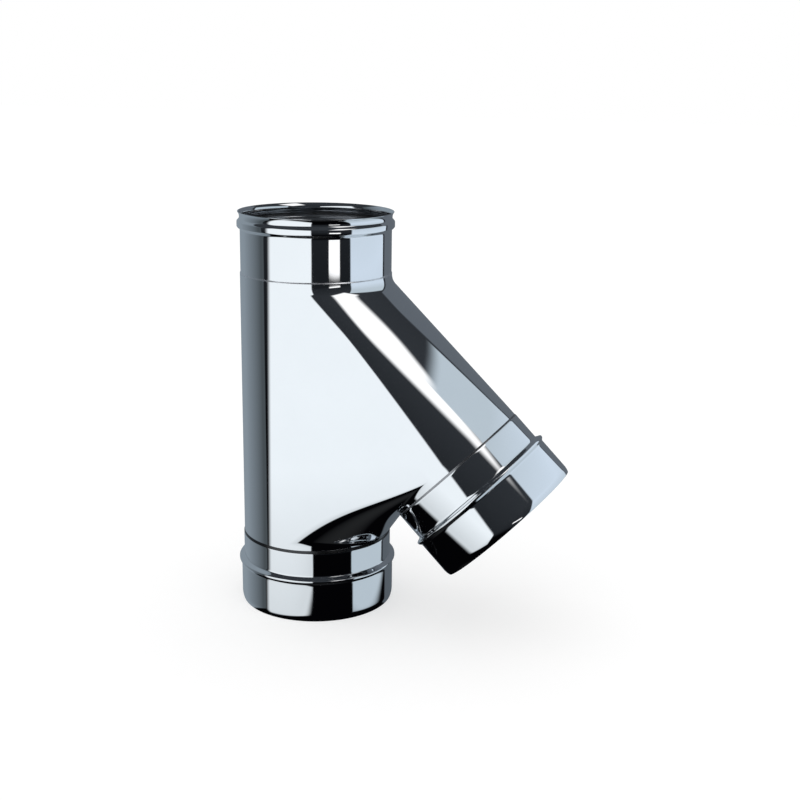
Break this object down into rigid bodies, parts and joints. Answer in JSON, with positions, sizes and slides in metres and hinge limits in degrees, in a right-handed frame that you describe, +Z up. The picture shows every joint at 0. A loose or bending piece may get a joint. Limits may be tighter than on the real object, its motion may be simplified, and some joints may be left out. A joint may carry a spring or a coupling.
{
  "type": "flue pipe tee with a 45 degree branch",
  "caption": "Single-wall bright stainless steel flue connector: an upright pipe with a branch that leaves it downwards at 45 degrees, an insert end on top and sockets below.",
  "frame": {"origin": "centre of the lower mouth, in the plane of its rim", "axes": "+Z up along the axis of the upright pipe towards the insert end, +X towards the side that the branch leaves from"},
  "size_m": [0.3427, 0.1624, 0.4023],
  "materials": {
    "folded_sheet": "bright annealed stainless steel sheet, mirror-like, with faint handling haze",
    "rolled_collar": "bright annealed stainless steel sheet, mirror-like, faintly rippled by rolling",
    "rolled_socket": "bright annealed stainless steel sheet, mirror-like, faintly rippled by rolling"
  },
  "bodies": {
    "root": {"body_shell": "folded_sheet", "insert_collar": "rolled_collar", "base_socket": "rolled_socket", "branch_socket": "rolled_socket"}
  },
  "joints": []
}
